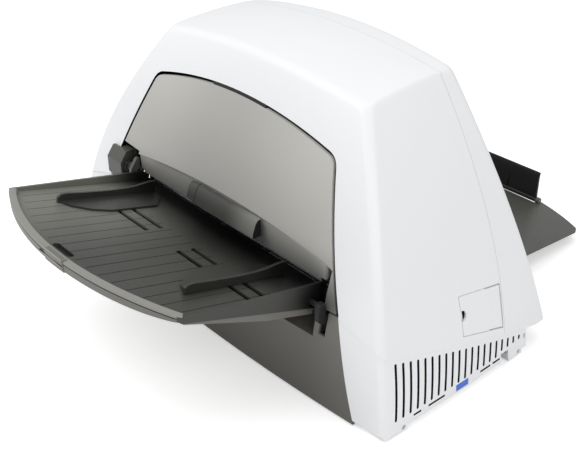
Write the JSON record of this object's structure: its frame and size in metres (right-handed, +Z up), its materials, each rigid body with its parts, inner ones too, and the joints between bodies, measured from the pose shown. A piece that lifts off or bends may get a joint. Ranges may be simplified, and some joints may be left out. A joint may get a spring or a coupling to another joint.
{
  "type": "document scanner",
  "caption": "Sheet-fed document scanner: flared light case, arched grey front cover with grip, raised dark input tray with side guides, dark output tray with end stop.",
  "frame": {"origin": "on the floor at the centre of the object's bounding box, between the ends of the two trays", "axes": "+Y towards the output tray, -Y towards the input tray, +X across the paper path to the vented right side, +Z up"},
  "size_m": [0.5732, 0.732, 0.3242],
  "materials": {
    "light_shell": "satin",
    "cover_grey": "satin",
    "dark_plastic": "matte",
    "black_plastic": "matte",
    "blue_plastic": "gloss",
    "steel": "brushed",
    "zinc_plate": "satin",
    "roller_rubber": "matte",
    "foot_rubber": "matte",
    "clear_glass": "gloss",
    "board_green": "satin",
    "gear_white": "satin",
    "motor_metal": "satin"
  },
  "bodies": {
    "case": {"base_chassis": "light_shell", "front_shell": "light_shell", "rear_shell": "light_shell", "front_base_panel": "dark_plastic", "throat_liner": "black_plastic", "feeder_lip": "cover_grey", "drive_pod": "dark_plastic", "lift_gear_pin": "steel", "elevator_rods": "steel", "rubber_feet": "foot_rubber", "lug_screws": "steel", "port_insert": "blue_plastic", "hinge_pins": "steel", "output_hinge_pins": "steel", "left_frame": "zinc_plate", "right_frame": "zinc_plate", "frame_crossbars": "zinc_plate", "roller_bushes": "gear_white", "transport_motor": "motor_metal", "transport_belt": "roller_rubber", "lower_guide_plate": "zinc_plate", "upper_guide_plate": "zinc_plate", "lower_imaging_module": "black_plastic", "upper_imaging_module": "black_plastic", "scan_glasses": "clear_glass", "power_supply": "zinc_plate", "main_board": "board_green", "fan_frame": "black_plastic", "power_inlet": "black_plastic", "data_port": "steel", "door_well": "light_shell"},
    "elevator": {"elevator_carriage": "black_plastic", "tray_pivot_pins": "steel"},
    "lift_gear": {"elevator_gear": "gear_white"},
    "input_tray": {"input_tray_deck": "dark_plastic", "input_tray_cover": "dark_plastic"},
    "left_guide": {"left_guide": "dark_plastic"},
    "right_guide": {"right_guide": "dark_plastic"},
    "guide_pinion": {"guide_pinion": "gear_white"},
    "extender": {"tray_extender": "dark_plastic"},
    "cover": {"front_cover": "cover_grey", "latch_pin": "steel"},
    "latch": {"cover_latch": "dark_plastic"},
    "door": {"side_door": "light_shell"},
    "output_tray": {"output_tray": "dark_plastic", "stop_pin": "steel"},
    "end_stop": {"end_stop": "black_plastic"},
    "feed_roller": {"feed_shaft": "steel", "feed_tires": "roller_rubber"},
    "separation_roller": {"separation_shaft": "steel", "separation_tires": "roller_rubber"},
    "front_drive_roller": {"front_drive_shaft": "steel", "front_drive_tires": "roller_rubber"},
    "rear_drive_roller": {"rear_drive_shaft": "steel", "rear_drive_tires": "roller_rubber"},
    "front_pinch_roller": {"front_pinch_roller": "gear_white"},
    "rear_pinch_roller": {"rear_pinch_roller": "gear_white"},
    "motor_pulley": {"motor_pulley": "gear_white"},
    "fan_rotor": {"fan_rotor": "black_plastic"},
    "power_switch": {"power_switch": "black_plastic"}
  },
  "joints": [
    {"name": "elevator_lift", "type": "slide", "parent": "case", "child": "elevator", "axis": [0, 0, 1], "range_m": [-0.014, 0]},
    {"name": "lift_gear_spin", "type": "hinge", "parent": "case", "child": "lift_gear", "pos_m": [-0.171, -0.152, 0.136], "axis": [1, 0, 0], "range_deg": [-105, 5]},
    {"name": "input_tray_fold", "type": "hinge", "parent": "elevator", "child": "input_tray", "pos_m": [0.014, -0.166, 0.1195], "axis": [-1, 0, 0], "range_deg": [0, 18]},
    {"name": "right_guide_slide", "type": "slide", "parent": "input_tray", "child": "right_guide", "axis": [1, 0, 0], "range_m": [-0.045, 0.034]},
    {"name": "left_guide_slide", "type": "slide", "parent": "input_tray", "child": "left_guide", "axis": [-1, 0, 0], "range_m": [-0.046, 0.035]},
    {"name": "guide_pinion_spin", "type": "hinge", "parent": "input_tray", "child": "guide_pinion", "pos_m": [0.018, -0.225, 0.14306], "axis": [0, 0.2526, 0.9676], "range_deg": [-250, 330]},
    {"name": "extender_slide", "type": "slide", "parent": "input_tray", "child": "extender", "axis": [0, -0.9676, 0.2526], "range_m": [0, 0.08]},
    {"name": "cover_hinge", "type": "hinge", "parent": "case", "child": "cover", "pos_m": [0.031, -0.1045, 0.2786], "axis": [-1, 0, 0], "range_deg": [0, 50]},
    {"name": "latch_hinge", "type": "hinge", "parent": "cover", "child": "latch", "pos_m": [0.024, -0.157, 0.165], "axis": [-1, 0, 0], "range_deg": [0, 12], "stiffness_Nm_per_rad": 0.05, "springref_deg": -5.73},
    {"name": "door_hinge", "type": "hinge", "parent": "case", "child": "door", "pos_m": [0.27888, 0.0205, 0.048], "axis": [-0.2377, 0, 0.9713], "range_deg": [0, 85]},
    {"name": "output_tray_fold", "type": "hinge", "parent": "case", "child": "output_tray", "pos_m": [0.014, 0.1085, 0.053], "axis": [1, 0, 0], "range_deg": [0, 90]},
    {"name": "end_stop_fold", "type": "hinge", "parent": "output_tray", "child": "end_stop", "pos_m": [0.014, 0.346, 0.015], "axis": [1, 0, 0], "range_deg": [0, 70]},
    {"name": "motor_spin", "type": "hinge", "parent": "case", "child": "motor_pulley", "pos_m": [-0.16, -0.014, 0.172], "axis": [1, 0, 0], "continuous": true},
    {"name": "feed_spin", "type": "hinge", "parent": "case", "child": "feed_roller", "pos_m": [0.014, -0.11, 0.13041], "axis": [1, 0, 0], "continuous": true},
    {"name": "separation_spin", "type": "hinge", "parent": "case", "child": "separation_roller", "pos_m": [0.014, -0.112, 0.10341], "axis": [1, 0, 0], "continuous": true},
    {"name": "front_drive_spin", "type": "hinge", "parent": "case", "child": "front_drive_roller", "pos_m": [0.014, -0.072, 0.12021], "axis": [1, 0, 0], "continuous": true},
    {"name": "rear_drive_spin", "type": "hinge", "parent": "case", "child": "rear_drive_roller", "pos_m": [0.014, 0.046, 0.10404], "axis": [1, 0, 0], "continuous": true},
    {"name": "front_pinch_spin", "type": "hinge", "parent": "case", "child": "front_pinch_roller", "pos_m": [0.014, -0.072, 0.10221], "axis": [1, 0, 0], "continuous": true},
    {"name": "rear_pinch_spin", "type": "hinge", "parent": "case", "child": "rear_pinch_roller", "pos_m": [0.014, 0.046, 0.08604], "axis": [1, 0, 0], "continuous": true},
    {"name": "fan_spin", "type": "hinge", "parent": "case", "child": "fan_rotor", "pos_m": [0.252, -0.082, 0.042], "axis": [1, 0, 0], "continuous": true},
    {"name": "power_switch_rock", "type": "hinge", "parent": "case", "child": "power_switch", "pos_m": [-0.194, 0.0645, 0.0205], "axis": [1, 0, 0], "range_deg": [-10, 10]}
  ],
  "couplings": [
    {"joint": "lift_gear_spin", "follows": "elevator_lift", "rad_per_m": 125},
    {"joint": "left_guide_slide", "follows": "right_guide_slide", "ratio": 1},
    {"joint": "guide_pinion_spin", "follows": "right_guide_slide", "rad_per_m": -125},
    {"joint": "motor_spin", "follows": "feed_spin", "ratio": 1.6},
    {"joint": "front_drive_spin", "follows": "feed_spin", "ratio": 1},
    {"joint": "rear_drive_spin", "follows": "feed_spin", "ratio": 1},
    {"joint": "separation_spin", "follows": "feed_spin", "ratio": -1.12},
    {"joint": "front_pinch_spin", "follows": "feed_spin", "ratio": -1.0588},
    {"joint": "rear_pinch_spin", "follows": "feed_spin", "ratio": -1.0588}
  ]
}
